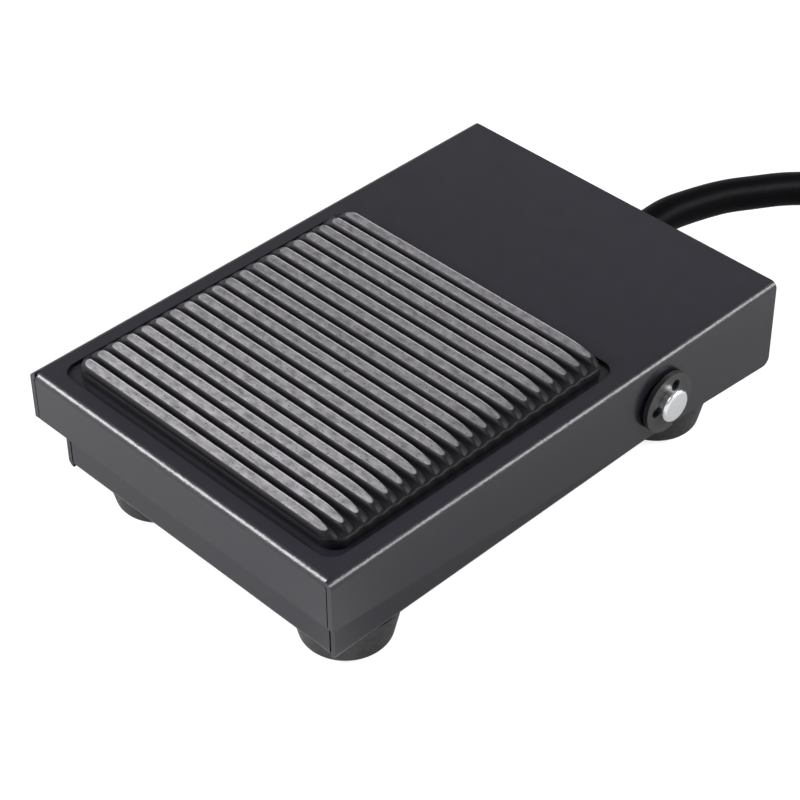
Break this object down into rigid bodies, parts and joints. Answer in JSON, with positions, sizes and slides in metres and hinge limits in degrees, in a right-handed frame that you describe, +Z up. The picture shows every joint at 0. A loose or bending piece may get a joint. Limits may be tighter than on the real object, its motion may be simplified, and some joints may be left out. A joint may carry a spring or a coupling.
{
  "type": "foot switch",
  "caption": "Low foot switch: a hinged, folded steel pedal with a ribbed rubber tread over a steel tray on rubber feet, with a coiled cord.",
  "frame": {"origin": "on the floor under the middle of the pedal's plan", "axes": "+X to the right side, towards the end of the hinge pin that the picture shows, +Y from the toe end to the cord end, +Z up"},
  "size_m": [0.1084, 0.2433, 0.0309],
  "materials": {
    "satin_black_paint": "satin black paint on folded sheet steel",
    "tread_rubber": "black rubber, dusty light grey on the rib tops",
    "foot_rubber": "matt black moulded rubber",
    "zinc_steel": "bright zinc plate",
    "bright_steel": "turned bright steel",
    "spring_steel": "drawn spring wire",
    "blackened_steel": "blackened spring steel",
    "white_nylon": "natural nylon",
    "black_phenolic": "black moulded phenolic",
    "brown_phenolic": "dark brown moulded phenolic",
    "red_plastic": "red plastic",
    "spring_copper": "beryllium copper strip",
    "brass": "stamped brass",
    "red_sleeve": "red insulating sleeve",
    "brown_insulation": "brown insulation",
    "blue_insulation": "blue insulation",
    "black_insulation": "black insulation",
    "cord_jacket": "black flexible jacket",
    "relief_plastic": "black flexible plastic",
    "tinned_copper": "twisted and tinned strands"
  },
  "bodies": {
    "base": {"base_tray": "satin_black_paint", "foot_front_left": "foot_rubber", "foot_front_right": "foot_rubber", "foot_rear_left": "foot_rubber", "foot_rear_right": "foot_rubber", "foot_screws": "zinc_steel", "foot_nuts": "zinc_steel", "hinge_pin": "bright_steel", "retaining_clips": "blackened_steel", "hinge_spacers": "white_nylon", "spring_seat": "zinc_steel", "return_spring": "spring_steel", "switch_bracket": "zinc_steel", "switch_screws": "zinc_steel", "switch_case": "black_phenolic", "switch_lid": "brown_phenolic", "common_terminal": "brass", "open_terminal": "brass", "closed_terminal": "brass", "receptacles": "red_sleeve", "core_common": "brown_insulation", "core_open": "blue_insulation", "core_closed": "black_insulation", "strain_relief": "relief_plastic", "cord_lead": "cord_jacket", "inner_tie": "white_nylon", "cord": "cord_jacket", "cord_coil": "cord_jacket", "coil_tie": "relief_plastic", "tail_cores": "brown_insulation", "core_tips": "tinned_copper"},
    "pedal": {"pedal_cover": "satin_black_paint", "tread_pad": "tread_rubber", "spring_stud": "zinc_steel"},
    "plunger": {"switch_plunger": "red_plastic"},
    "contact": {"contact_blade": "spring_copper"}
  },
  "joints": [
    {"name": "pedal_hinge", "type": "hinge", "parent": "base", "child": "pedal", "pos_m": [0, 0.0234, 0.0197], "axis": [1, 0, 0], "range_deg": [0, 5], "stiffness_Nm_per_rad": 2.4, "springref_deg": -7.45, "deforming": ["return_spring"]},
    {"name": "plunger_slide", "type": "slide", "parent": "base", "child": "plunger", "axis": [0, 0, -1], "range_m": [0, 0.00134]},
    {"name": "contact_swing", "type": "hinge", "parent": "base", "child": "contact", "pos_m": [0.01039, 0.008, 0.0207], "axis": [0, -1, 0], "range_deg": [0, 7.3]}
  ],
  "couplings": [
    {"joint": "plunger_slide", "follows": "pedal_hinge", "m_per_rad": 0.015128},
    {"joint": "contact_swing", "follows": "pedal_hinge", "ratio": 1.4486}
  ]
}
